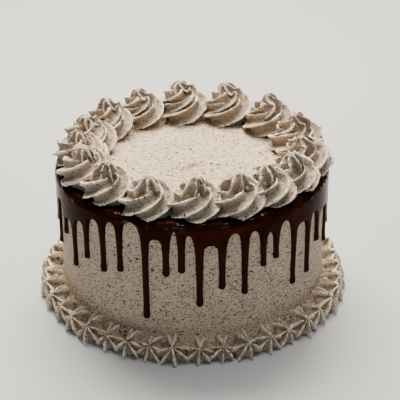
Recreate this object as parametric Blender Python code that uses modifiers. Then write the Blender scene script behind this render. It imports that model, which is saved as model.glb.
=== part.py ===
"""A round cookies and cream layer cake: frosted body, chocolate drip, a ring of piped rosettes on top
and a border of piped stars round the foot. Metres, +Z up, origin at the centre of the flat base."""

import math
import random

import bmesh
import bpy
from mathutils import Matrix, Vector

# Driving dimensions
CAKE_RADIUS = 0.1005
CAKE_HEIGHT = 0.1030
RIM_ROUNDING = 0.0035
CAKE_SIDES = 72
RIM_STEPS = 2

# Pieces that touch keep this much air between them
TOUCH_GAP = 0.0003

# Chocolate poured round the rim
GANACHE_THICKNESS = 0.0016
GANACHE_INNER_RADIUS = 0.0715
GANACHE_EDGE_TAPER = 0.0025
DRIP_HALF_WIDTH = 0.0025
DRIP_BULGE = 0.0024
DRIP_FLANK = 0.0011
DRIP_END_ROUNDING = 0.0020
ARCH_DROP = 0.0080

# Places of the sections: of a drip in half widths from its middle, of an arch in shares of the way across
DRIP_FACE, DRIP_SIDE, ARCH_FOOT = 0.45, 1.0, 1.15
ARCH_SHOULDERS = (0.38, 0.62)

# Drips on the side that faces the front (-Y): azimuth in degrees from +X, height of the tip,
# and height of the bare arch between this drip and the next
FRONT_DRIPS = (
    (-165.5, 0.0470, 0.088), (-155.5, 0.0640, 0.080), (-147.2, 0.0440, 0.086), (-138.1, 0.0580, 0.094),
    (-128.5, 0.0540, 0.097), (-120.1, 0.0590, 0.097), (-108.8, 0.0250, 0.091), (-100.3, 0.0620, 0.097),
    (-94.1, 0.0655, 0.097), (-87.0, 0.0380, 0.090), (-78.0, 0.0510, 0.095), (-68.5, 0.0440, 0.094),
    (-60.3, 0.0630, 0.090), (-54.2, 0.0660, 0.089), (-44.3, 0.0375, 0.085), (-34.5, 0.0390, 0.087),
    (-26.0, 0.0580, 0.080), (-14.0, 0.0460, 0.088),
)
BACK_DRIP_COUNT = 22
BACK_DRIP_TIPS = (0.062, 0.030)
BACK_ARCHES = (0.084, 0.096)
BACK_DRIP_WANDER = 0.16
BACK_DRIP_SEED = 11

# Rosettes piped on top with a six-point star tip: azimuth of the middle and of the leaning peak
ROSETTES = (
    (-157.0, -155.0), (-135.0, -134.0), (-111.0, -110.0), (-87.5, -87.0),
    (-67.0, -66.0), (-48.5, -51.0), (-30.0, -33.0), (-9.0, -11.0),
    (16.0, 15.0), (43.0, 44.0), (70.0, 71.0), (96.0, 97.0),
    (120.0, 121.0), (143.0, 143.5), (164.0, 166.0), (184.0, 183.0),
)
ROSETTE_RING_RADIUS = 0.0822
ROSETTE_RADIUS = 0.0203
ROSETTE_HEIGHT = 0.0255
ROSETTE_UNEVENNESS = 0.05
ROSETTE_LEAN = 0.0016
ROSETTE_SEED = 5
TIP_POINTS = 6
ROSETTE_FLUTE = 0.17

# Outline of a rosette from foot to peak: share of radius, share of height, turn in degrees
ROSETTE_LEVELS = (
    (0.88, 0.00, 0), (0.98, 0.08, 15), (1.00, 0.19, 35), (0.95, 0.31, 57), (0.84, 0.42, 78),
    (0.70, 0.51, 96), (0.61, 0.58, 110), (0.58, 0.67, 126), (0.50, 0.77, 144), (0.38, 0.87, 162),
    (0.24, 0.95, 176),
)

# Stars piped into the corner round the foot
STAR_COUNT = 41
STAR_CENTRE_RADIUS = 0.1092
STAR_CENTRE_HEIGHT = 0.0050
STAR_RADIUS = 0.0116
STAR_HEIGHT = 0.0074
STAR_TILT = 28.0
STAR_ROOT = 0.0100
STAR_UNEVENNESS = 0.06
STAR_TURN_WANDER = 0.3
STAR_SEED = 3
STAR_FLUTE = 0.44

# Outline of a star: share of radius, share of height above its middle plane
STAR_FOOT_SHARE = 0.90
STAR_LEVELS = ((1.00, 0.12), (0.62, 0.62))


def clear_scene():
    for obj in list(bpy.data.objects):
        bpy.data.objects.remove(obj, do_unlink=True)


def make_material(name, colour, roughness):
    material = bpy.data.materials.new(name)
    material.use_nodes = True
    shader = material.node_tree.nodes["Principled BSDF"]
    shader.inputs["Base Color"].default_value = (*colour, 1.0)
    shader.inputs["Roughness"].default_value = roughness
    shader.inputs["Metallic"].default_value = 0.0
    return material


def add_object(name, bm, collection, material):
    """Turns a bmesh into a named object with outward faces."""
    bmesh.ops.recalc_face_normals(bm, faces=bm.faces)
    if bm.calc_volume(signed=True) < 0:
        bmesh.ops.reverse_faces(bm, faces=bm.faces)
    mesh = bpy.data.meshes.new(name)
    bm.to_mesh(mesh)
    bm.free()
    mesh.materials.append(material)
    mesh.shade_smooth()
    mesh.set_sharp_from_angle(angle=math.radians(35))
    obj = bpy.data.objects.new(name, mesh)
    collection.objects.link(obj)
    return obj


def polar(radius, azimuth, height):
    return Vector((radius * math.cos(azimuth), radius * math.sin(azimuth), height))


def cake_body(collection, material):
    """A turned solid: flat base, straight wall, softly rounded rim and flat top."""
    outline = [(0.0, CAKE_HEIGHT)]
    for step in range(RIM_STEPS + 1):
        angle = math.pi / 2 * (1 - step / RIM_STEPS)
        outline.append((
            CAKE_RADIUS - RIM_ROUNDING + RIM_ROUNDING * math.cos(angle),
            CAKE_HEIGHT - RIM_ROUNDING + RIM_ROUNDING * math.sin(angle),
        ))
    outline += [(CAKE_RADIUS, 0.0), (0.0, 0.0)]
    mesh = bpy.data.meshes.new("cake")
    points = [(radius, 0.0, height) for radius, height in outline]
    mesh.from_pydata(points, [(i, i + 1) for i in range(len(points) - 1)], [])
    mesh.materials.append(material)
    cake = bpy.data.objects.new("cake", mesh)
    collection.objects.link(cake)
    screw = cake.modifiers.new("turn", "SCREW")
    screw.steps = CAKE_SIDES
    screw.render_steps = CAKE_SIDES
    screw.use_merge_vertices = True
    screw.merge_threshold = 0.00001
    screw.use_smooth_shade = True


def drip_list():
    """Every drip in order: azimuth in radians, height of its tip, height of the arch after it."""
    draw = random.Random(BACK_DRIP_SEED)
    drips = [(math.radians(azimuth), tip, arch) for azimuth, tip, arch in FRONT_DRIPS]
    first = FRONT_DRIPS[-1][0]
    pitch = (FRONT_DRIPS[0][0] + 360 - first) / (BACK_DRIP_COUNT + 1)
    short, long = BACK_DRIP_TIPS
    for index in range(BACK_DRIP_COUNT):
        azimuth = first + pitch * (index + 1 + draw.uniform(-BACK_DRIP_WANDER, BACK_DRIP_WANDER))
        share = draw.random() if index % 2 else draw.random() / 2
        drips.append((math.radians(azimuth), short + (long - short) * share, draw.uniform(*BACK_ARCHES)))
    return drips


def ganache_section(azimuth, lower_edge, bulge):
    """The closed outline of the chocolate at one azimuth: over the top, down the wall, back up inside."""
    wall = CAKE_RADIUS + TOUCH_GAP
    bed = CAKE_HEIGHT + TOUCH_GAP
    outline = (
        (GANACHE_INNER_RADIUS, bed),
        (GANACHE_INNER_RADIUS + GANACHE_EDGE_TAPER, bed + GANACHE_THICKNESS),
        (CAKE_RADIUS - RIM_ROUNDING / 2, bed + GANACHE_THICKNESS),
        (wall + GANACHE_THICKNESS, bed - RIM_ROUNDING / 2),
        (wall + bulge, lower_edge + bulge),
        (wall, lower_edge),
        (wall, bed),
    )
    return [polar(radius, azimuth, height) for radius, height in outline]


def ganache_columns():
    """Where the sections stand: (azimuth, lower edge, bulge), six for each drip and two for each arch."""
    drips = drip_list()
    half = DRIP_HALF_WIDTH / CAKE_RADIUS
    columns = []
    for index, (azimuth, tip, arch) in enumerate(drips):
        arch_before = drips[index - 1][2]
        ahead = (drips[(index + 1) % len(drips)][0] - azimuth) % (2 * math.pi)
        columns += [
            (azimuth - ARCH_FOOT * half, arch_before - ARCH_DROP, GANACHE_THICKNESS),
            (azimuth - DRIP_SIDE * half, tip + DRIP_END_ROUNDING, DRIP_FLANK),
            (azimuth - DRIP_FACE * half, tip, DRIP_BULGE),
            (azimuth + DRIP_FACE * half, tip, DRIP_BULGE),
            (azimuth + DRIP_SIDE * half, tip + DRIP_END_ROUNDING, DRIP_FLANK),
            (azimuth + ARCH_FOOT * half, arch - ARCH_DROP, GANACHE_THICKNESS),
        ]
        columns += [(azimuth + share * ahead, arch, GANACHE_THICKNESS) for share in ARCH_SHOULDERS]
    return columns


def chocolate_drip(collection, material):
    """A ring of ganache on the rim with drips down the wall, lofted section by section round the cake."""
    bm = bmesh.new()
    rings = []
    for azimuth, lower_edge, bulge in ganache_columns():
        rings.append([bm.verts.new(point) for point in ganache_section(azimuth, lower_edge, bulge)])
    for index, ring in enumerate(rings):
        following = rings[(index + 1) % len(rings)]
        for corner in range(len(ring)):
            beyond = (corner + 1) % len(ring)
            bm.faces.new((ring[corner], ring[beyond], following[beyond], following[corner]))
    bmesh.ops.triangulate(bm, faces=bm.faces)
    add_object("chocolate_drip", bm, collection, material)


def extrude_top(bm, top, keep_below):
    """Extrudes the top face in place and returns the new one."""
    made = bmesh.ops.extrude_face_region(bm, geom=[top])["geom"]
    if not keep_below:
        bmesh.ops.delete(bm, geom=[top], context="FACES_ONLY")
    return next(item for item in made if isinstance(item, bmesh.types.BMFace))


def fluted_stack(flute_depth, levels, peak):
    """A star outline raised through levels of (radius, height, turn) and drawn to a point at the peak."""
    bm = bmesh.new()
    bmesh.ops.create_circle(bm, cap_ends=True, segments=2 * TIP_POINTS, radius=1.0)
    for valley in list(bm.verts)[1::2]:
        valley.co *= 1 - flute_depth
    top = bm.faces[:][0]
    outline = [vert.co.copy() for vert in top.verts]
    for index, (radius, height, turn) in enumerate(levels):
        if index:
            top = extrude_top(bm, top, keep_below=index == 1)
        drift = (height / peak.z) ** 2
        centre = Vector((peak.x * drift, peak.y * drift, height))
        place = Matrix.Translation(centre) @ Matrix.Rotation(turn, 4, "Z") @ Matrix.Scale(radius, 4)
        for vert, corner in zip(top.verts, outline):
            vert.co = place @ corner
    top = extrude_top(bm, top, keep_below=False)
    bmesh.ops.pointmerge(bm, verts=list(top.verts), merge_co=peak)
    return bm


def cut_away(bm, point, outward):
    """Cuts off what lies beyond a plane and closes the cut."""
    geometry = bm.verts[:] + bm.edges[:] + bm.faces[:]
    bmesh.ops.bisect_plane(
        bm, geom=geometry, dist=1e-6, plane_co=point, plane_no=outward, clear_outer=True
    )
    bmesh.ops.holes_fill(bm, edges=[edge for edge in bm.edges if edge.is_boundary], sides=0)


def cut_to_sector(bm, before, after):
    """Keeps a piped piece between the two planes where it presses on its neighbours."""
    for azimuth, side in ((before, -1), (after, 1)):
        tangent = Vector((-math.sin(azimuth), math.cos(azimuth), 0)) * side
        cut_away(bm, -tangent * TOUCH_GAP / 2, tangent)


def rosettes(collection, material):
    """Swirls side by side on the ring of ganache, each cut where it presses on the next."""
    draw = random.Random(ROSETTE_SEED)
    foot = CAKE_HEIGHT + GANACHE_THICKNESS + 2 * TOUCH_GAP
    azimuths = [math.radians(middle) for middle, peak in ROSETTES]
    for index, (middle, peak_azimuth) in enumerate(ROSETTES):
        azimuth = azimuths[index]
        size = 1 + draw.uniform(-ROSETTE_UNEVENNESS, ROSETTE_UNEVENNESS)
        start = draw.uniform(0, 2 * math.pi / TIP_POINTS)
        levels = [
            (radius * ROSETTE_RADIUS * size, height * ROSETTE_HEIGHT * size, start + math.radians(turn))
            for radius, height, turn in ROSETTE_LEVELS
        ]
        peak = polar(ROSETTE_RING_RADIUS, math.radians(peak_azimuth), ROSETTE_HEIGHT * size)
        peak -= polar(ROSETTE_RING_RADIUS, azimuth, 0)
        peak += polar(draw.uniform(-ROSETTE_LEAN, ROSETTE_LEAN), azimuth, 0)
        bm = fluted_stack(ROSETTE_FLUTE, levels, peak)
        bmesh.ops.translate(bm, verts=bm.verts, vec=polar(ROSETTE_RING_RADIUS, azimuth, foot))
        back = (azimuths[index - 1] - azimuth) % (2 * math.pi) - 2 * math.pi
        ahead = (azimuths[(index + 1) % len(azimuths)] - azimuth) % (2 * math.pi)
        cut_to_sector(bm, azimuth + back / 2, azimuth + ahead / 2)
        add_object(f"rosette_{index + 1:02d}", bm, collection, material)


def border_stars(collection, material):
    """Small piped stars leaning on the wall, flat where they stand and where they touch."""
    draw = random.Random(STAR_SEED)
    pitch = 2 * math.pi / STAR_COUNT
    for index in range(STAR_COUNT):
        azimuth = pitch * index
        size = 1 + draw.uniform(-STAR_UNEVENNESS, STAR_UNEVENNESS)
        turn = math.pi / TIP_POINTS * (1 + draw.uniform(-STAR_TURN_WANDER, STAR_TURN_WANDER))
        levels = [(STAR_FOOT_SHARE * STAR_RADIUS * size, -STAR_ROOT, turn)]
        levels += [
            (radius * STAR_RADIUS * size, height * STAR_HEIGHT * size, turn)
            for radius, height in STAR_LEVELS
        ]
        peak = Vector((0, 0, STAR_HEIGHT * size))
        bm = fluted_stack(STAR_FLUTE, levels, peak)
        place = (
            Matrix.Rotation(azimuth, 4, "Z")
            @ Matrix.Translation((STAR_CENTRE_RADIUS, 0, STAR_CENTRE_HEIGHT))
            @ Matrix.Rotation(math.radians(STAR_TILT), 4, "Y")
        )
        bmesh.ops.transform(bm, matrix=place, verts=bm.verts)
        cut_away(bm, Vector((0, 0, 0)), Vector((0, 0, -1)))
        inward = polar(-1, azimuth, 0)
        cut_away(bm, -inward * (CAKE_RADIUS + TOUCH_GAP), inward)
        cut_to_sector(bm, azimuth - pitch / 2, azimuth + pitch / 2)
        add_object(f"star_{index + 1:02d}", bm, collection, material)


def main():
    clear_scene()
    collection = bpy.data.collections.new("cookies_and_cream_cake")
    bpy.context.scene.collection.children.link(collection)
    frosting = make_material("cookie_frosting", (0.42, 0.37, 0.31), 0.75)
    piping = make_material("piped_frosting", (0.40, 0.34, 0.28), 0.70)
    chocolate = make_material("dark_ganache", (0.035, 0.010, 0.006), 0.22)
    cake_body(collection, frosting)
    chocolate_drip(collection, chocolate)
    rosettes(collection, piping)
    border_stars(collection, piping)


main()
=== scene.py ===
# %% [markdown]
# # A cookies and cream drip cake
#
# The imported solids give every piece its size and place, and this script gives them their looks.
# The cake is frosting, ganache and piping, which are all soft stuff that was scraped, poured or
# squeezed, so each piece is shaped the way it is really made: turned, run down a wall, or
# squeezed out of a tip.

# %% Load the solids
import math
import random

import bmesh
import bpy
import numpy as np
from mathutils import Matrix, Vector


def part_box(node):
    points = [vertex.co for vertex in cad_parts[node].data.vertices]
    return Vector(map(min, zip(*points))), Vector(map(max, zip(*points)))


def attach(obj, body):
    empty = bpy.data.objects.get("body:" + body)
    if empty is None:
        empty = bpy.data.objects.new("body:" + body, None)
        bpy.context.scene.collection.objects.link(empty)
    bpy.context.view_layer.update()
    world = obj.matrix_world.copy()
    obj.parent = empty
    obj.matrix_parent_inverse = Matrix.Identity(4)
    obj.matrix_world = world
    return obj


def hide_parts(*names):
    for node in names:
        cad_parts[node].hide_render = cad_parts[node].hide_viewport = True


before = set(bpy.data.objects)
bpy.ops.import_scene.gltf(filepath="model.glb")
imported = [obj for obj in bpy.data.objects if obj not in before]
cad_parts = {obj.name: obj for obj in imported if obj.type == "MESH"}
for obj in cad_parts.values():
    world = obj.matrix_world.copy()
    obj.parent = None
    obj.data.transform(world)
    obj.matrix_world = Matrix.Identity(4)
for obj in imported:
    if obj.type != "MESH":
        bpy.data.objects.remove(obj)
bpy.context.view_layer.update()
print("solids:", len(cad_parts))

# %% [markdown]
# ## Sizes
#
# Lengths below are in millimetres, because a baker thinks in them, and MM turns them into
# Blender's metres. The radius and the height of the cake come from its solid, so nothing is
# measured twice.

# %% Sizes read from the solids
MM = 0.001
cake_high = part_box("cake")[1]
CAKE_RADIUS = cake_high.x / MM
CAKE_TOP = cake_high.z / MM
RIM_ROUNDING = 3.5
print(f"cake radius {CAKE_RADIUS:.1f} mm, top at {CAKE_TOP:.1f} mm")

# %% [markdown]
# ## Working on one piece at a time
#
# Blender's operators act on whatever is selected and active, just as the buttons do. So every
# helper first deselects all, then picks its own piece, and leaves edit mode behind it. A finished
# piece keeps its place in its mesh and not in its object, so that a pattern on its coordinates
# never slides.


# %% Small helpers for modelling
def deselect_all():
    if bpy.context.mode != "OBJECT":
        bpy.ops.object.mode_set(mode="OBJECT")
    bpy.ops.object.select_all(action="DESELECT")


def pick(piece):
    """Makes the piece the only selected one, and the active one."""
    deselect_all()
    bpy.context.view_layer.objects.active = piece
    piece.select_set(True)


def edit(piece):
    """Opens the piece in edit mode with all of it selected."""
    pick(piece)
    bpy.ops.object.mode_set(mode="EDIT")
    bpy.ops.mesh.select_all(action="SELECT")


def leave_edit():
    bpy.ops.object.mode_set(mode="OBJECT")


def face_outwards():
    """In edit mode: turns every face of a closed piece to the outside."""
    bpy.ops.mesh.select_all(action="SELECT")
    bpy.ops.mesh.normals_make_consistent(inside=False)


def apply_modifier(piece, kind, **settings):
    """Adds one modifier with its settings and applies it."""
    pick(piece)
    modifier = piece.modifiers.new(kind.lower(), kind)
    for name, value in settings.items():
        setattr(modifier, name, value)
    bpy.ops.object.modifier_apply(modifier=modifier.name)


def settle(piece):
    """Moves the object's place into its mesh, so that the object sits at the origin."""
    pick(piece)
    bpy.ops.object.transform_apply(location=True, rotation=True, scale=True)


def lumps(name, size_mm):
    """A cloud texture whose lumps are about that large, for Displace modifiers."""
    texture = bpy.data.textures.new(name, "CLOUDS")
    texture.noise_scale = size_mm * MM
    texture.noise_depth = 2
    return texture


def displace(piece, texture, strength_mm, **settings):
    """Raises and lowers the surface by a texture."""
    apply_modifier(piece, "DISPLACE", texture=texture, strength=strength_mm * MM, **settings)


def finish(piece, material, node):
    """Smooth shading and the material, then the piece is hung under the root and the solid that it
    stands for is hidden.
    """
    pick(piece)
    bpy.ops.object.shade_smooth()
    piece.data.materials.append(material)
    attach(piece, "root")
    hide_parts(node)


print("helpers ready")

# %% [markdown]
# ## Shader maths as plain sums
#
# A procedural finish is a lot of arithmetic on masks. One small class wraps a socket, so that
# `1 - mask * 2` adds its own Math nodes, and the recipe class below adds every other node.


# %% A socket that can be used in a sum
class Amount:
    """A number that varies over the surface."""

    def __init__(self, recipe, socket):
        self.recipe = recipe
        self.socket = socket

    def _math(self, operation, first, second=None, clamp=False):
        node = self.recipe.tree.nodes.new("ShaderNodeMath")
        node.operation = operation
        node.use_clamp = clamp
        for place, value in enumerate((first, second)):
            if isinstance(value, Amount):
                self.recipe.tree.links.new(value.socket, node.inputs[place])
            elif value is not None:
                node.inputs[place].default_value = value
        return Amount(self.recipe, node.outputs[0])

    def __add__(self, other):
        return self._math("ADD", self, other)

    def __sub__(self, other):
        return self._math("SUBTRACT", self, other)

    def __rsub__(self, other):
        return self._math("SUBTRACT", other, self)

    def __mul__(self, other):
        return self._math("MULTIPLY", self, other)

    def __pow__(self, other):
        return self._math("POWER", self, other)

    __radd__ = __add__
    __rmul__ = __mul__

    def most(self, other):
        return self._math("MAXIMUM", self, other)

    def step(self, low, high):
        """0 below low, 1 above high and straight between them."""
        return self._math("DIVIDE", self - low, high - low, clamp=True)


class Recipe:
    """A material and the nodes in it."""

    def __init__(self, name):
        self.material = bpy.data.materials.new(name)
        self.material.use_nodes = True
        self.tree = self.material.node_tree
        self.shader = self.tree.nodes["Principled BSDF"]

    def add(self, kind, settings=None, **sockets):
        """One node: its settings first, then its sockets, by name or as _ and a number."""
        node = self.tree.nodes.new(kind)
        for name, value in (settings or {}).items():
            setattr(node, name, value)
        for name, value in sockets.items():
            socket = node.inputs[int(name[1:])] if name[0] == "_" else node.inputs[name]
            self.feed(socket, value)
        return node

    def feed(self, socket, value):
        if isinstance(value, Amount):
            value = value.socket
        if isinstance(value, bpy.types.NodeSocket):
            self.tree.links.new(value, socket)
        else:
            socket.default_value = value

    def set(self, **values):
        """Constants or links on the shader's own sockets, with _ for the space in a name."""
        for name, value in values.items():
            self.feed(self.shader.inputs[name.replace("_", " ")], value)

    def millimetres(self, stretch=(1, 1, 1)):
        """The piece's own coordinates in millimetres."""
        place = self.add("ShaderNodeTexCoord").outputs["Object"]
        size = tuple(share / MM for share in stretch)
        node = self.add("ShaderNodeVectorMath", {"operation": "MULTIPLY"}, _0=place, _1=size)
        return node.outputs[0]

    def noise(self, where, size, detail=2.0):
        """Clouds from 0 to 1 that are about that many millimetres large."""
        node = self.add(
            "ShaderNodeTexNoise", Vector=where, Scale=1 / size, Detail=detail, Roughness=0.6
        )
        return Amount(self, node.outputs[0])

    def mix(self, share, first, second):
        """A colour between two colours."""
        node = self.add("ShaderNodeMix", {"data_type": "RGBA"}, _0=share, _6=first, _7=second)
        return node.outputs[2]

    def attribute(self, name):
        node = self.add("ShaderNodeAttribute", {"attribute_name": name})
        return Amount(self, node.outputs["Fac"])

    def bump(self, height, distance_mm, strength=1.0):
        node = self.add(
            "ShaderNodeBump", Strength=strength, Distance=distance_mm * MM, Height=height
        )
        return node.outputs[0]


print("shader classes ready")


# %% [markdown]
# ## Cookie crumbs
#
# Crushed cookies leave crumbs of every size in the frosting, from dust to specks of a millimetre
# or two. A Voronoi texture gives each cell one point, so a crumb is the ball round that point,
# with a radius drawn from the cell's own colour. Cells that draw a low number hold no crumb at
# all. A noise shifts the texture a little first, which tears the balls into ragged crumbs.


# %% One layer of crumbs
CRUMB_EDGE = 0.35  # share of a crumb's radius over which it fades out


def crumbs(recipe, where, cell, share, radius):
    """A mask of crumbs: one possible crumb for each cell, of up to that radius in millimetres."""
    node = recipe.add("ShaderNodeTexVoronoi", Vector=where, Scale=1 / cell)
    draw = recipe.add("ShaderNodeSeparateColor", _0=node.outputs["Color"]).outputs[0]
    size = Amount(recipe, draw).step(1 - share, 1.0)
    reach = Amount(recipe, node.outputs["Distance"]) * cell
    return ((size ** 0.5) * radius - reach).step(0.0, radius * CRUMB_EDGE)


def torn_coordinates(recipe, where):
    """Coordinates shifted to and fro by a noise of about a millimetre."""
    node = recipe.add("ShaderNodeTexNoise", Vector=where, Scale=0.8, Detail=2.0)
    shift = recipe.add(
        "ShaderNodeVectorMath", {"operation": "SCALE"}, _0=node.outputs["Color"], Scale=1.3
    )
    torn = recipe.add("ShaderNodeVectorMath", {"operation": "ADD"}, _0=where, _1=shift.outputs[0])
    return torn.outputs[0]


print("crumb layer ready")

# %% [markdown]
# ## Buttercream
#
# The frosting is cream-coloured with a grey-brown cast from the finest dust. Three layers of
# crumbs lie in it, darker the larger they are. On piped frosting a painted highlight makes the
# thin ribs paler, as where light shines through them, and painted shade makes the hollows darker;
# the
# "crest" attribute of the mesh tells the two apart. Three materials come from the one recipe:
# scraped on the wall and top, piped and pressed.

# %% The frosting materials
# Colours are linear, as all colours in this script
STAIN = (0.185, 0.140, 0.105, 1)
DUST = (0.105, 0.074, 0.052, 1)
CRUMB = (0.034, 0.024, 0.018, 1)
LARGE_CRUMB = (0.014, 0.010, 0.008, 1)
# The next two colours are painted light on piped frosting: a shade for its hollows and a highlight
# for its ribs
HOLLOW_PAINTED_SHADE = (0.165, 0.132, 0.108, 1)
RIB_PAINTED_HIGHLIGHT = (0.95, 0.86, 0.73, 1)
CLOUD_SIZE = 16.0
GRAIN_SIZE = 1.5
CLOUD_DULLNESS = 0.90


def frosting(name, cream, shade, relief, crest=None, smear=(1, 1, 1)):
    """Buttercream full of crumbs.

    The crest values of a piped piece: where a rib's painted highlight starts, where it is
    strongest, and how much painted shade darkens the hollows. The smear stretches the crumbs: less
    than 1 draws them out.
    """
    recipe = Recipe(name)
    where = recipe.millimetres(smear)
    torn = torn_coordinates(recipe, where)
    fine = crumbs(recipe, torn, cell=0.80, share=1.00, radius=0.40)
    middling = crumbs(recipe, torn, cell=1.40, share=0.95, radius=0.79)
    large = crumbs(recipe, torn, cell=3.8, share=0.36, radius=1.25)
    cloudy = recipe.noise(where, CLOUD_SIZE)
    grain = recipe.noise(where, GRAIN_SIZE, detail=3.0)
    dull = tuple(part * CLOUD_DULLNESS for part in cream[:3]) + (1,)
    body = recipe.mix(cloudy.step(0.35, 0.68), dull, cream)
    body = recipe.mix(grain.step(0.38, 0.72) * shade, body, STAIN)
    body = recipe.mix(fine * 0.95, body, DUST)
    body = recipe.mix(middling * 0.90, body, CRUMB)
    body = recipe.mix(large * 0.95, body, LARGE_CRUMB)
    if crest:
        low, high, hollow = crest
        rib = recipe.attribute("crest")
        # Painted shade: the hollows between the ribs are mixed towards a dark cream
        body = recipe.mix((1 - rib.step(0.0, 0.35)) * hollow, body, HOLLOW_PAINTED_SHADE)
        # Painted highlight: the thin ribs are mixed towards a pale cream, but not on the larger
        # crumbs
        edge = rib.step(low, high) * (1 - large) * (1 - middling * 0.6)
        body = recipe.mix(edge * 0.92, body, RIB_PAINTED_HIGHLIGHT)
    gritty = (middling * 0.6).most(large) + grain * 0.6
    recipe.set(Base_Color=body, Roughness=grain.step(0.2, 0.8) * 0.2 + 0.55)
    recipe.set(Normal=recipe.bump(gritty, relief))
    recipe.set(IOR=1.4, Specular_IOR_Level=0.35)
    return recipe.material


# One buttercream at three brightnesses: the piped cream is darker than the scraped, as painted
# shade on the rosettes, and the pressed cream is lighter than the piped, as painted bounce light
# on the border
scraped = frosting(
    "scraped_frosting", (0.675, 0.556, 0.434, 1), shade=0.48, relief=0.12, smear=(0.72, 0.72, 1.35)
)
piped = frosting(
    "piped_frosting", (0.465, 0.388, 0.316, 1), shade=0.35, relief=0.16, crest=(0.50, 1.0, 0.38)
)
pressed = frosting(
    "pressed_frosting", (0.54, 0.447, 0.360, 1), shade=0.30, relief=0.16, crest=(0.30, 0.90, 0.30)
)
print("frosting materials:", scraped.name, piped.name, pressed.name)

# %% [markdown]
# ## Ganache
#
# Chocolate and cream set to a thin skin that is nearly black where it lies thick. The band round
# the rim glows red-brown in a few places, the thin drips are a plainer brown, and the rim keeps
# wet glints. The height over the floor tells the three apart. The gloss is held low, because the
# wall would mirror the pale floor as grey, and a coat adds the glints at the rim alone.

# %% Dark ganache
DRIP_BROWN = (0.027, 0.0094, 0.0049, 1)
BAND_BROWN = (0.019, 0.0042, 0.0021, 1)
GLOW_BROWN = (0.054, 0.0088, 0.0038, 1)
BAND_FROM, BAND_FULL = 80.0, 92.0
RIM_FROM, RIM_FULL = 98.5, 101.0
WET_FROM, WET_FULL = 99.0, 101.5


def ganache_finish():
    """Poured chocolate: nearly black, brown in the drips, glowing red-brown here and there."""
    recipe = Recipe("dark_ganache")
    where = recipe.millimetres()
    height = Amount(recipe, recipe.add("ShaderNodeSeparateXYZ", _0=where).outputs[2])
    band = height.step(BAND_FROM, BAND_FULL)
    patches = recipe.noise(where, 19.0).step(0.42, 0.68)
    glow = band * (1 - height.step(RIM_FROM, RIM_FULL)) * patches
    colour = recipe.mix(band, DRIP_BROWN, BAND_BROWN)
    colour = recipe.mix(glow, colour, GLOW_BROWN)
    recipe.set(Base_Color=colour, Roughness=recipe.noise(where, 5.0).step(0.2, 0.8) * 0.08 + 0.13)
    recipe.set(Normal=recipe.bump(recipe.noise(where, 4.5), 0.5, 0.6))
    recipe.set(IOR=1.2, Specular_IOR_Level=0.06)
    wet = height.step(WET_FROM, WET_FULL) * recipe.noise(where, 5.5).step(0.53, 0.62) * 0.8
    recipe.set(Coat_Weight=wet, Coat_Roughness=0.10, Coat_IOR=1.5)
    return recipe.material


chocolate = ganache_finish()
print("ganache material:", chocolate.name)

# %% [markdown]
# ## The frosted body
#
# The baker coats the stacked layers and turns them past a scraper. Here a filled circle is
# extruded upwards ring by ring like a wall going up, rounded over the rim, and then drawn in ring
# by ring to the middle of the top. Two Displace modifiers add the slight hollows that a scraper
# leaves. At the foot the wall flares into a small cove, because the piped border leaves no open
# corner behind it.

# %% The body's outline
AROUND = 256
TOP_STEP = 0.9
RIM_STEPS = 6
WALL_STEPS = 34
FIRST_WALL_STEP = 6
FOOT_COVE = (
    # radius, height
    (106.6, 0.0), (106.2, 3.0), (105.0, 6.5), (103.3, 9.5), (101.8, 12.0), (100.8, 14.5),
)


def next_ring(radius, height, last_radius, last_height):
    """In edit mode: extrudes the selected face to the next ring of a turned form."""
    bpy.ops.mesh.extrude_region_move(
        TRANSFORM_OT_translate={"value": (0, 0, (height - last_height) * MM)}
    )
    share = radius / last_radius
    bpy.ops.transform.resize(value=(share, share, 1), center_override=(0, 0, height * MM))


def body_outline():
    """Rings from the base to the middle of the top, as (radius, height) in millimetres."""
    wall = CAKE_TOP - RIM_ROUNDING
    rings = list(FOOT_COVE)
    rings += [(CAKE_RADIUS, wall * i / WALL_STEPS) for i in range(FIRST_WALL_STEP, WALL_STEPS + 1)]
    for step in range(1, RIM_STEPS + 1):
        angle = math.pi / 2 * step / RIM_STEPS
        inner = CAKE_RADIUS - RIM_ROUNDING
        across, up = math.cos(angle), math.sin(angle)
        rings.append((inner + RIM_ROUNDING * across, wall + RIM_ROUNDING * up))
    radius = CAKE_RADIUS - RIM_ROUNDING - TOP_STEP
    while radius > 1.0:
        rings.append((radius, CAKE_TOP))
        radius -= TOP_STEP
    return rings


print("rings in the outline:", len(body_outline()))

# %% The mark of the knife
SWIPE_MIDDLE = (8.0, -22.0)
SWIPE_RADIUS = 16.0
SWIPE_TOWARDS = 125.0  # degrees, as is the spread
SWIPE_SPREAD = 42.0
SWIPE_WIDTH = 1.2
SWIPE_DEPTH = 3.0
BURR_DISTANCE = 2.0
BURR_SHARE = 0.8
KNIFE_REACH = 2.0  # only points within this of the flat top are moved


def drag_knife(body):
    """Presses the short curved mark of a knife into the middle of the top."""
    for vert in body.data.vertices:
        if vert.co.z < (CAKE_TOP - KNIFE_REACH) * MM:
            continue
        x, y = vert.co.x / MM - SWIPE_MIDDLE[0], vert.co.y / MM - SWIPE_MIDDLE[1]
        across = math.hypot(x, y) - SWIPE_RADIUS
        along = math.degrees(math.atan2(y, x)) - SWIPE_TOWARDS
        fade = math.exp(-((along / SWIPE_SPREAD) ** 2))
        groove = math.exp(-((across / SWIPE_WIDTH) ** 2))
        burr = math.exp(-(((across + BURR_DISTANCE) / SWIPE_WIDTH) ** 2))
        vert.co.z -= SWIPE_DEPTH * MM * fade * groove
        vert.co.z += BURR_SHARE * SWIPE_DEPTH * MM * fade * burr


print(f"knife mark {SWIPE_DEPTH} mm deep")

# %% Turn the body and scrape it
FOOT_HEIGHT = 6.0
SCRAPE_MIDDLE = 0.55
SCRAPES = (
    # size of the hollows, depth
    (26.0, 0.7),
    (7.0, 0.28),
)


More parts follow.
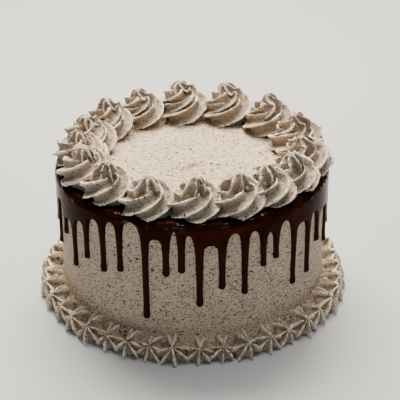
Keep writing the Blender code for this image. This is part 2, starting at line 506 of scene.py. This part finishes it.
def frosted_body():
    deselect_all()
    rings = body_outline()
    bpy.ops.mesh.primitive_circle_add(vertices=AROUND, radius=rings[0][0] * MM, fill_type="NGON")
    body = bpy.context.active_object
    body.name = "frosted_body"
    edit(body)
    for last, ring in zip(rings, rings[1:]):
        next_ring(*ring, *last)
    face_outwards()
    leave_edit()
    above_foot = body.vertex_groups.new(name="above_foot")
    lifted = [v.index for v in body.data.vertices if v.co.z > FOOT_HEIGHT * MM]
    above_foot.add(lifted, 1.0, "REPLACE")
    for size, depth in SCRAPES:
        hollows = lumps(f"scraper_{size:.0f}", size)
        displace(body, hollows, depth, mid_level=SCRAPE_MIDDLE, vertex_group="above_foot")
    drag_knife(body)
    finish(body, scraped, "cake")
    return body


body = frosted_body()
print(body.name, "faces:", len(body.data.polygons))

# %% [markdown]
# ## Chocolate run down the wall
#
# Ganache is poured round the rim and finds its own way down. Where two drips part, the edge
# between them is drawn into a round arch, and each drip ends in a heavier bead. Extruding such a
# liquid form face by face would leave corners, so this piece is made as one skin over the rim and
# wall: a grid primitive is wrapped round the cake, and each point stands off the frosting by how
# far it lies inside the outline. The outline itself is a distance: to the nearest drip, softly
# joined to the band. The drips on the front have their own places and lengths, and the others are
# drawn by a seeded rule.

# %% Where the drips run
FRONT_DRIPS = (
    # azimuth in degrees, height of the tip, height of the bare arch after it
    (-165.5, 47.0, 88.0), (-155.5, 64.0, 80.0), (-147.2, 44.0, 86.0), (-138.1, 58.0, 94.0),
    (-128.5, 54.0, 97.0), (-120.1, 59.0, 101.0), (-108.8, 25.0, 91.0), (-100.3, 62.0, 101.0),
    (-94.1, 65.5, 97.0), (-87.0, 38.0, 87.0), (-78.0, 51.0, 95.0), (-68.5, 44.0, 94.0),
    (-60.3, 63.0, 90.0), (-54.2, 66.0, 94.0), (-44.3, 37.5, 85.0), (-34.5, 39.0, 87.0),
    (-26.0, 58.0, 80.0), (-14.0, 46.0, 88.0),
)
BACK_DRIP_COUNT = 22
BACK_DRIP_LENGTHS = (62, 32)  # highest tip, and how far below it the lowest may be
BACK_ARCHES = (84, 96)
BACK_DRIFT = 0.16  # share of the pitch by which a drip may stand off its even place


def drip_list():
    """Every drip in order: azimuth in degrees, tip and following arch in millimetres."""
    draw = random.Random(11)
    drips = list(FRONT_DRIPS)
    first = FRONT_DRIPS[-1][0]
    pitch = (FRONT_DRIPS[0][0] + 360 - first) / (BACK_DRIP_COUNT + 1)
    for index in range(BACK_DRIP_COUNT):
        azimuth = first + pitch * (index + 1 + draw.uniform(-BACK_DRIFT, BACK_DRIFT))
        share = draw.random() if index % 2 else draw.random() / 2
        highest, range_below = BACK_DRIP_LENGTHS
        drips.append((azimuth, highest - range_below * share, draw.uniform(*BACK_ARCHES)))
    return drips


drips = drip_list()
print("drips:", len(drips), "longest tip at", min(tip for _, tip, _ in drips), "mm")

# %% How far a point lies inside the chocolate
DRIP_HALF_WIDTH = 2.45
DRIP_NECK = 2.1
DRIP_SWELL = 0.4
SWELL_LENGTH = 45
DRIP_FLARE = 2.2
FLARE_HEIGHT = 7.0
FLARE_LIMIT = 0.6
BEAD_LENGTH = 4.5
ARCH_SHOULDER = 1.4  # degrees on either side of a drip where the arches end
FILLET = 4.5
FAR_OFF = 99.0


def soft_most(a, b, reach):
    """The larger of two distances, with the corner between them filled round."""
    overlap = np.clip(reach - np.abs(a - b), 0, None) / reach
    return np.maximum(a, b) + overlap * overlap * reach / 4


def inside_chocolate(azimuth, z):
    """Distance inside the outline in millimetres, and how near a point is to a drip's end."""
    nearest = np.full(azimuth.shape, -FAR_OFF)
    bead = np.zeros(azimuth.shape)
    for index, (middle, tip, arch) in enumerate(drips):
        edge = (arch + drips[index - 1][2]) / 2
        across = np.radians((azimuth - middle + 180) % 360 - 180) * CAKE_RADIUS
        below_end = tip + DRIP_HALF_WIDTH - z
        near_end = np.exp(-((below_end / BEAD_LENGTH) ** 2))
        width = DRIP_NECK + (DRIP_HALF_WIDTH - DRIP_NECK) * near_end
        width = width + DRIP_SWELL * np.clip((z - tip) / SWELL_LENGTH, 0, 1)
        width = width + DRIP_FLARE * np.exp(np.clip((z - edge) / FLARE_HEIGHT, None, FLARE_LIMIT))
        away = np.hypot(across, np.clip(below_end, 0, None))
        closer = width - away > nearest
        bead = np.where(closer, near_end, bead)
        nearest = np.maximum(nearest, width - away)
    stops, edges = [], []
    for index, (middle, _, arch) in enumerate(drips):
        stops += [middle - ARCH_SHOULDER, middle + ARCH_SHOULDER]
        edges += [drips[index - 1][2], arch]
    lower_edge = np.interp(azimuth, stops, edges, period=360)
    return soft_most(nearest, z - lower_edge, FILLET), bead


print("outline ready")

# %% Rows of the skin from the top to the foot
COLUMNS = 1100
INNER_RADIUS = 73.0
TOP_ROW_STEP = 2.0
WALL_ROW_STEP = 0.65
LOWEST_ROW = 20.0
RIM_ROWS = 10


def skin_rows():
    """Places along the cake's outline, from under the rosettes over the rim and down the wall."""
    rows = []
    corner = CAKE_RADIUS - RIM_ROUNDING
    for radius in np.arange(INNER_RADIUS, corner, TOP_ROW_STEP):
        rows.append((radius, CAKE_TOP, 0.0, 1.0))
    for angle in np.linspace(90, 0, RIM_ROWS):
        across, up = math.cos(math.radians(angle)), math.sin(math.radians(angle))
        height = CAKE_TOP - RIM_ROUNDING * (1 - up)
        rows.append((corner + RIM_ROUNDING * across, height, across, up))
    for z in np.arange(CAKE_TOP - RIM_ROUNDING - WALL_ROW_STEP, LOWEST_ROW, -WALL_ROW_STEP):
        rows.append((CAKE_RADIUS, z, 1.0, 0.0))
    return np.array(rows)


print("rows:", len(skin_rows()), "columns:", COLUMNS)

# %% [markdown]
# ## A closed skin
#
# A skin alone is an open sheet, and a sheet has no inside. Its lower edge, with all the drips, is
# extruded back into the cake and flattened to a ring there, lower points further in, so that the
# ring's points keep their order. Bridging it to the upper edge closes the piece, hidden in the
# cake.

# %% Close the back of the skin
WALL_FROM = 90.0
BACK_HEIGHT = CAKE_TOP - 2.5
BACK_RADIUS = 79.5
BACK_SPREAD = 0.195  # how much further out a point comes to lie for each millimetre of its height


def close_back(mesh):
    """Leads the lower edge back into the cake and fills the ring up to the upper edge."""
    lower = [e for e in mesh.edges if e.is_boundary and e.verts[0].co.xy.length > WALL_FROM * MM]
    made = bmesh.ops.extrude_edge_only(mesh, edges=lower)["geom"]
    for vert in made:
        if isinstance(vert, bmesh.types.BMVert):
            turn = math.atan2(vert.co.y, vert.co.x)
            radius = (BACK_RADIUS + vert.co.z / MM * BACK_SPREAD) * MM
            vert.co = Vector((radius * math.cos(turn), radius * math.sin(turn), BACK_HEIGHT * MM))
    loops = [e for e in mesh.edges if e.is_boundary]
    bmesh.ops.bridge_loops(mesh, edges=loops)


print(f"the back lies {CAKE_TOP - BACK_HEIGHT} mm under the top")

# %% Wrap the skin and raise it
GANACHE = 1.7
WALL_EXTRA = 0.35
BEAD_EXTRA = 0.45
EDGE_ROUNDING = 1.8
RIPPLES = (
    # how many round the cake, height, phase in degrees
    (11, 0.30, 0),
    (29, 0.22, 40),
)
INNER_MARGIN = 0.5
EDGE_DIP = 0.9  # how steeply the skin dips into the frosting outside its outline
BARE_FROM = -1.1  # distance inside the outline below which the skin is cut away


def chocolate_skin():
    rows = skin_rows()
    deselect_all()
    bpy.ops.mesh.primitive_grid_add(x_subdivisions=COLUMNS, y_subdivisions=len(rows) - 1, size=2)
    skin = bpy.context.active_object
    skin.name = "chocolate_skin"
    flat = np.empty(len(skin.data.vertices) * 3)
    skin.data.vertices.foreach_get("co", flat)
    flat = flat.reshape(-1, 3)
    azimuth = -180 + (flat[:, 0] + 1) / 2 * 360
    row = np.rint((1 - flat[:, 1]) / 2 * (len(rows) - 1)).astype(int)
    radius, height, across, up = rows[row].T
    inside, bead = inside_chocolate(azimuth, height)
    inside = np.minimum(inside, radius - INNER_RADIUS - INNER_MARGIN)
    rounded = np.sin(np.clip(inside / EDGE_ROUNDING, 0, 1) * math.pi / 2)
    ripple = np.zeros(azimuth.shape)
    for count, rise, phase in RIPPLES:
        ripple += rise * np.sin(np.radians(azimuth * count + phase))
    thick = (GANACHE + ripple * up + WALL_EXTRA * (1 - up) + BEAD_EXTRA * bead) * rounded
    thick = np.where(inside < 0, inside * EDGE_DIP, thick)
    turn = np.radians(azimuth)
    reach = radius + across * thick
    columns = (reach * np.cos(turn), reach * np.sin(turn), height + up * thick)
    points = np.stack(columns, axis=1) * MM
    skin.data.vertices.foreach_set("co", points.ravel())
    bare = inside < BARE_FROM
    mesh = bmesh.new()
    mesh.from_mesh(skin.data)
    mesh.verts.ensure_lookup_table()
    useless = [face for face in mesh.faces if all(bare[vert.index] for vert in face.verts)]
    bmesh.ops.delete(mesh, geom=useless, context="FACES")
    bmesh.ops.remove_doubles(mesh, verts=mesh.verts, dist=0.01 * MM)
    close_back(mesh)
    mesh.to_mesh(skin.data)
    mesh.free()
    edit(skin)
    face_outwards()
    leave_edit()
    finish(skin, chocolate, "chocolate_drip")
    return skin


skin = chocolate_skin()
print(skin.name, "faces:", len(skin.data.polygons))

# %% [markdown]
# ## Rosettes
#
# An open star tip squeezes out a rope with six thin ribs and broad hollows between them. The hand
# goes round while the tip hardly turns, so the ribs climb slantwise over the rope, by about half
# a turn for each turn of the coil. The rope is laid in one wide turn, a narrower one on top of
# it, and pulled away to a tuft. Here it is made in the same way: a star outline, a Screw modifier
# that draws it out to a rolled rope, and a Curve modifier that lays the rope along a rising
# spiral. The points of the curve have a radius each, which thins the rope towards both ends.

# %% The star outline
ROPE_RIBS = (0, 60, 120, 180, 240, 300)
ROPE_SECTION = (
    # share of the way to the next rib, share of the rope's radius there
    (0.00, 1.00), (0.045, 0.97), (0.105, 0.85), (0.20, 0.68), (0.34, 0.56), (0.50, 0.53),
    (0.66, 0.56), (0.80, 0.68), (0.895, 0.85), (0.955, 0.97),
)
FULL_GAP = 55  # degrees between two ribs from which the hollow has its full depth
CREST_DEPTH = 0.28  # share of the radius below a rib's top where the crest value has fallen to 0


def star_outline(name, ribs_at, section, radius):
    """The circle primitive, its points drawn in between the ribs, with a crest value on each.

    The ribs are given in degrees. Where two stand close, the hollow between them is less deep.
    """
    deselect_all()
    count = len(ribs_at) * len(section)
    bpy.ops.mesh.primitive_circle_add(vertices=count, radius=radius * MM, fill_type="NOTHING")
    star = bpy.context.active_object
    star.name = name
    heights = []
    for vert in star.data.vertices:
        rib, point = divmod(vert.index, len(section))
        along, share = section[point]
        gap = (ribs_at[(rib + 1) % len(ribs_at)] - ribs_at[rib]) % 360
        share = 1 - (1 - share) * min(1.0, gap / FULL_GAP)
        turn = math.radians(ribs_at[rib] + along * gap)
        vert.co = Vector((math.cos(turn), math.sin(turn), 0)) * radius * share * MM
        heights.append(max(0.0, 1 - (1 - share) / CREST_DEPTH))
    ribs = star.vertex_groups.new(name="ribs")
    for index, height in enumerate(heights):
        ribs.add([index], height, "REPLACE")
    star.data.attributes.new("crest", "FLOAT", "POINT").data.foreach_set("value", heights)
    return star


print("points in the rope's outline:", len(ROPE_RIBS) * len(ROPE_SECTION))

# %% The way of the rope
ROSETTE_WAY = (
    # turns made, distance from the middle, height of the rope's middle, radius of the rope
    (0.00, 3.0, 4.5, 4.5),
    (0.25, 8.8, 5.6, 9.2),
    (0.60, 10.4, 6.0, 10.2),
    (1.10, 10.2, 8.2, 10.0),
    (1.50, 6.6, 11.6, 9.6),
    (1.80, 3.6, 14.4, 9.9),
    (2.02, 2.0, 17.6, 9.9),
    (2.18, 1.1, 21.2, 8.2),
    (2.28, 0.7, 24.6, 5.6),
    (2.36, 0.5, 27.4, 2.8),
)
WAY_HEIGHT = 27.5
WAY_POINTS = 110
SOFTENED_POINTS = 9
START_SPEED = 0.85  # under 1, the first stations of the way are passed faster than the last
ROPE_RADIUS = 10.0
HAND_SPREAD = (0.93, 1.07)  # how much nearer or further out each station may lie


def rope_way(name, width, height, start, lean, draw):
    """A rising spiral as a curve object whose point radius is the thickness of the rope."""
    turns, away, up, thick = np.array(ROSETTE_WAY).T
    away = away * np.array([draw.uniform(*HAND_SPREAD) for _ in away])
    share = np.linspace(0, 1, WAY_POINTS)
    turn = share ** START_SPEED * turns[-1]
    soften = np.ones(SOFTENED_POINTS) / SOFTENED_POINTS
    columns = []
    for values in (away, up, thick):
        line = np.interp(turn, turns, values)
        padded = np.pad(line, SOFTENED_POINTS // 2, mode="edge")
        columns.append(np.convolve(padded, soften, "valid"))
    away, up, thick = columns
    data = bpy.data.curves.new(name, "CURVE")
    data.dimensions = "3D"
    data.twist_mode = "MINIMUM"
    data.use_stretch = True
    data.use_deform_bounds = True
    spline = data.splines.new("POLY")
    spline.points.add(WAY_POINTS - 1)
    for index, point in enumerate(spline.points):
        angle = start + 2 * math.pi * turn[index]
        rise = up[index] / WAY_HEIGHT
        x = away[index] * math.cos(angle) * width + lean[0] * rise ** 2
        y = away[index] * math.sin(angle) * width + lean[1] * rise ** 2
        point.co = (x * MM, y * MM, rise * height * MM, 1)
        point.radius = thick[index] / ROPE_RADIUS * width
    way = bpy.data.objects.new(name, data)
    bpy.context.scene.collection.objects.link(way)
    return way


print("stations of the way:", len(ROSETTE_WAY), "turns:", ROSETTE_WAY[-1][0])

# %% One rosette
ROPE_RINGS = 104
ROLL_PER_TURN = 0.52
ROPE_LENGTH = 120  # of the straight rope; the Curve modifier stretches it to its way


def close_ends(piece):
    """Fills the open ends, after the subdivision, and turns the faces outwards."""
    edit(piece)
    bpy.ops.mesh.fill_holes(sides=0)
    face_outwards()
    leave_edit()


def rosette(name, width, height, start, lean, draw):
    """One swirl standing at the origin."""
    rope = star_outline(name, ROPE_RIBS, ROPE_SECTION, ROPE_RADIUS)
    turns = ROSETTE_WAY[-1][0]
    apply_modifier(
        rope, "SCREW", axis="Z", angle=-2 * math.pi * turns * ROLL_PER_TURN,
        screw_offset=ROPE_LENGTH * MM, steps=ROPE_RINGS, render_steps=ROPE_RINGS,
        use_merge_vertices=False,
    )
    way = rope_way(f"way_of_{name}", width, height, start, lean, draw)
    apply_modifier(rope, "CURVE", object=way, deform_axis="POS_Z")
    bpy.data.objects.remove(way)
    apply_modifier(rope, "SUBSURF", levels=1, render_levels=1)
    close_ends(rope)
    return rope


print(f"the ribs roll by {ROLL_PER_TURN * ROSETTE_WAY[-1][0]:.2f} turns over the rope")

# %% [markdown]
# ## The ring of rosettes
#
# Every rosette solid tells where its swirl stands, how high it is and which way its tip leans.
# The hand is never the same twice, so each swirl also draws its own start and width. Two Displace
# modifiers make it uneven: wide lumps all over, and small tears along the thin ribs alone.

# %% Pipe the ring of rosettes
ROSETTE_FOOT = CAKE_TOP - 1.5
ROSETTE_RING = 82.9
ROSETTE_START = math.radians(-75)
START_SPREAD = 0.5  # radians to either side
ROSETTE_WIDTHS = (1.05, 1.14)
FOOT_SHARE = 0.25  # of a solid's height, whose points give the middle of its foot
ROSETTE_WOBBLE = 3.6
ROSETTE_TEARS = 2.0


def stance(name):
    """From a rosette's solid: azimuth and place on the ring, lean and height of the tip."""
    points = [vert.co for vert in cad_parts[name].data.vertices]
    low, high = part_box(name)
    foot = [p for p in points if p.z < low.z + FOOT_SHARE * (high.z - low.z)]
    middle = sum(foot, Vector()) / len(foot)
    peak = max(points, key=lambda p: p.z)
    azimuth = math.atan2(middle.y, middle.x)
    place = Vector((math.cos(azimuth), math.sin(azimuth), 0)) * ROSETTE_RING * MM
    lean = ((peak.x - place.x) / MM, (peak.y - place.y) / MM)
    return azimuth, place, lean, high.z / MM - ROSETTE_FOOT


def pipe_rosettes():
    """A swirl for each rosette solid, on the middle of its foot and leaning as it does."""
    draw = random.Random(21)
    made = []
    names = sorted(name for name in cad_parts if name.startswith("rosette_"))
    wobble = lumps("piping_wobble", 11.0)
    tears = lumps("piping_tears", 1.8)
    for name in names:
        azimuth, place, lean, height = stance(name)
        start = azimuth + ROSETTE_START + draw.uniform(-START_SPREAD, START_SPREAD)
        width = draw.uniform(*ROSETTE_WIDTHS)
        swirl = rosette(f"piped_{name}", width, height, start, lean, draw)
        swirl.location = place + Vector((0, 0, ROSETTE_FOOT * MM))
        settle(swirl)
        displace(swirl, wobble, ROSETTE_WOBBLE, texture_coords="LOCAL")
        displace(swirl, tears, ROSETTE_TEARS, texture_coords="LOCAL", vertex_group="ribs")
        finish(swirl, piped, name)
        made.append(swirl)
    return made


swirls = pipe_rosettes()
print("rosettes:", len(swirls), "faces each:", len(swirls[0].data.polygons))

# %% [markdown]
# ## The border of stars
#
# Round the foot a star tip is pressed into the corner and let go, star after star. Each is a low
# star with thin ribs that run up the wall, down to the floor and into its neighbours. It is
# extruded level by level from a star outline and drawn in towards its top, with the hollows
# deepened on the way, and then tilted into the corner. What would reach below the floor is cut
# off with Bisect, and the cut is closed by drawing its edge together to one point.

# %% Press one star
STAR_RIBS = (0, 52, 94, 166, 194, 266, 308)
STAR_SECTION = (
    (0.00, 1.00), (0.045, 0.96), (0.11, 0.85), (0.21, 0.73), (0.35, 0.66), (0.50, 0.64),
    (0.65, 0.66), (0.79, 0.73), (0.89, 0.85), (0.955, 0.96),
)
STAR_PROFILE = (
    # share of radius, height
    (0.93, -12.0), (1.00, -1.5), (1.00, 0.6), (0.95, 2.4), (0.84, 4.2), (0.67, 5.8), (0.46, 7.0),
    (0.27, 7.8), (0.12, 8.3),
)
STAR_HOLLOW = 0.80
HOLLOW_RISE = 1.6  # the hollows have their full depth from 1 / 1.6 of the height upwards
STAR_RADIUS = 12.2
STAR_PLACE = (110.0, 6.5)  # distance from the cake's axis, height
STAR_TILT = 40.0
LEVEL_SPREAD = (0.96, 1.04)


def deepen_hollows(star, top):
    """Draws the points between the ribs further in, the higher they lie."""
    crest = star.data.attributes["crest"].data
    for vert in star.data.vertices:
        rise = max(0.0, vert.co.z / MM / top)
        inward = 1 - STAR_HOLLOW * (1 - crest[vert.index].value) * min(1.0, rise * HOLLOW_RISE)
        vert.co = Vector((vert.co.x * inward, vert.co.y * inward, vert.co.z))


def pressed_star(name, azimuth, size, turn, draw):
    """One star of that size in the corner at that azimuth, turned about its own axis."""
    star = star_outline(name, STAR_RIBS, STAR_SECTION, STAR_RADIUS * size)
    edit(star)
    share = STAR_PROFILE[0][0]
    bpy.ops.transform.resize(value=(share, share, 1), center_override=(0, 0, 0))
    bpy.ops.transform.translate(value=(0, 0, STAR_PROFILE[0][1] * MM))
    for (last_share, last_up), (share, up) in zip(STAR_PROFILE, STAR_PROFILE[1:]):
        bpy.ops.mesh.extrude_region_move(
            TRANSFORM_OT_translate={"value": (0, 0, (up - last_up) * size * MM)}
        )
        step = share / last_share * draw.uniform(*LEVEL_SPREAD)
        bpy.ops.transform.resize(value=(step, step, 1), center_override=(0, 0, 0))
    leave_edit()
    deepen_hollows(star, STAR_PROFILE[-1][1] * size)
    apply_modifier(star, "SUBSURF", levels=1, render_levels=1)
    close_ends(star)
    away, up = STAR_PLACE
    star.matrix_world = (
        Matrix.Rotation(azimuth, 4, "Z")
        @ Matrix.Translation((away * MM, 0, up * MM))
        @ Matrix.Rotation(math.radians(STAR_TILT), 4, "Y")
        @ Matrix.Rotation(turn, 4, "Z")
    )
    settle(star)
    return star


print("points in a star's outline:", len(STAR_RIBS) * len(STAR_SECTION))

# %% Cut the foot and pipe the border
STAR_DRIFT = 0.008  # radians to either side
STAR_SIZES = (0.93, 1.06)
STAR_TURN = 12  # degrees to either side
STAR_WOBBLE = 2.4
STAR_TEARS = 1.0


def cut_foot(piece):
    """Cuts off what would reach below the floor, and closes the cut."""
    edit(piece)
    bpy.ops.mesh.quads_convert_to_tris()
    bpy.ops.mesh.bisect(plane_co=(0, 0, 0), plane_no=(0, 0, -1), clear_outer=True, threshold=1e-7)
    bpy.ops.mesh.select_all(action="DESELECT")
    bpy.ops.mesh.select_non_manifold(
        use_wire=False, use_multi_face=False, use_non_contiguous=False
    )
    bpy.ops.mesh.extrude_edges_move()
    bpy.ops.mesh.merge(type="CENTER")
    leave_edit()


def pipe_border():
    draw = random.Random(4)
    wobble = lumps("border_wobble", 4.0)
    tears = lumps("border_tears", 1.2)
    made = []
    names = sorted(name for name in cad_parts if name.startswith("star_"))
    for index, name in enumerate(names):
        azimuth = 2 * math.pi * index / len(names) + draw.uniform(-STAR_DRIFT, STAR_DRIFT)
        size = draw.uniform(*STAR_SIZES)
        turn = math.radians(draw.uniform(-STAR_TURN, STAR_TURN))
        star = pressed_star(f"piped_{name}", azimuth, size, turn, draw)
        displace(star, wobble, STAR_WOBBLE, texture_coords="LOCAL")
        displace(star, tears, STAR_TEARS, texture_coords="LOCAL", vertex_group="ribs")
        cut_foot(star)
        finish(star, pressed, name)
        made.append(star)
    return made


border = pipe_border()
print("stars:", len(border), "faces each:", len(border[0].data.polygons))

# %% [markdown]
# ## Floor, light and camera
#
# A pale floor and soft light from above and behind, as at a window: the top is bright, and the
# wall that faces the viewer lies in open shade. A weak, cool light from the room's side keeps
# that shade open, and the world behind adds a trace of light from everywhere.


# %% Floor
def plain(name, colour, roughness):
    recipe = Recipe(name)
    recipe.set(Base_Color=colour, Roughness=roughness)
    return recipe.material


deselect_all()
bpy.ops.mesh.primitive_plane_add(size=6.0, location=(0, 0, 0))
floor = bpy.context.active_object
floor.name = "floor"
floor.data.materials.append(plain("pale_floor", (0.45, 0.485, 0.55, 1), 0.6))
print("floor:", floor.name)


# %% Light
def soft_light(name, place, aim, size, power, colour):
    light = bpy.data.lights.new(name, "AREA")
    light.shape = "RECTANGLE"
    light.size, light.size_y = size
    light.energy = power
    light.color = colour
    lamp = bpy.data.objects.new(name, light)
    bpy.context.scene.collection.objects.link(lamp)
    lamp.location = place
    lamp.rotation_euler = (Vector(aim) - Vector(place)).to_track_quat("-Z", "Y").to_euler()
    return lamp


LIGHTS = (
    # name, place in metres, what it is aimed at, size, power in watts, colour
    ("window", (-0.10, 0.70, 1.12), (0, 0, 0.08), (0.9, 0.7), 64.0, (1.0, 0.882, 0.675)),
    ("ceiling", (0.25, 0.05, 1.5), (0, 0, 0.05), (1.0, 1.0), 17.0, (1.0, 0.915, 0.77)),
    ("room_side", (-0.1, -1.5, 0.7), (0, 0, 0.05), (1.6, 0.9), 3.2, (0.86, 0.94, 1.0)),
)
for settings in LIGHTS:
    soft_light(*settings)
world = bpy.data.worlds.new("room")
world.use_nodes = True
background = world.node_tree.nodes["Background"]
background.inputs["Color"].default_value = (1.0, 0.97, 0.94, 1)
background.inputs["Strength"].default_value = 0.06
bpy.context.scene.world = world

# %% [markdown]
# ## Camera
#
# The camera stands where the photograph was taken from: 0.9 m away, looking down at the cake by
# 28.6 degrees through a long lens, which keeps the wall's sides nearly upright.

# %% Camera at the photograph's place
CAMERA_TARGET = Vector((5.8, 0.0, 68.6)) * MM
CAMERA_DISTANCE = 900 * MM
CAMERA_ELEVATION = 28.6
CAMERA_ROLL = -0.35
LENS = 106.1
FILM_WIDTH = 36.0


def place_camera():
    camera = bpy.data.objects.new("camera", bpy.data.cameras.new("camera"))
    bpy.context.scene.collection.objects.link(camera)
    camera.data.lens = LENS
    camera.data.sensor_width = FILM_WIDTH
    tilt = math.radians(CAMERA_ELEVATION)
    back = Vector((0, -math.cos(tilt), math.sin(tilt)))
    camera.location = CAMERA_TARGET + back * CAMERA_DISTANCE
    level = Matrix.Rotation(math.radians(90 - CAMERA_ELEVATION), 4, "X")
    roll = Matrix.Rotation(math.radians(CAMERA_ROLL), 4, "Z")
    camera.rotation_euler = (level @ roll).to_euler()
    bpy.context.scene.camera = camera
    return camera


camera = place_camera()
print("camera at", tuple(round(x, 3) for x in camera.location))

# %% [markdown]
# ## Finish
#
# The view layer is brought up to date.

# %% Finish
bpy.context.view_layer.update()
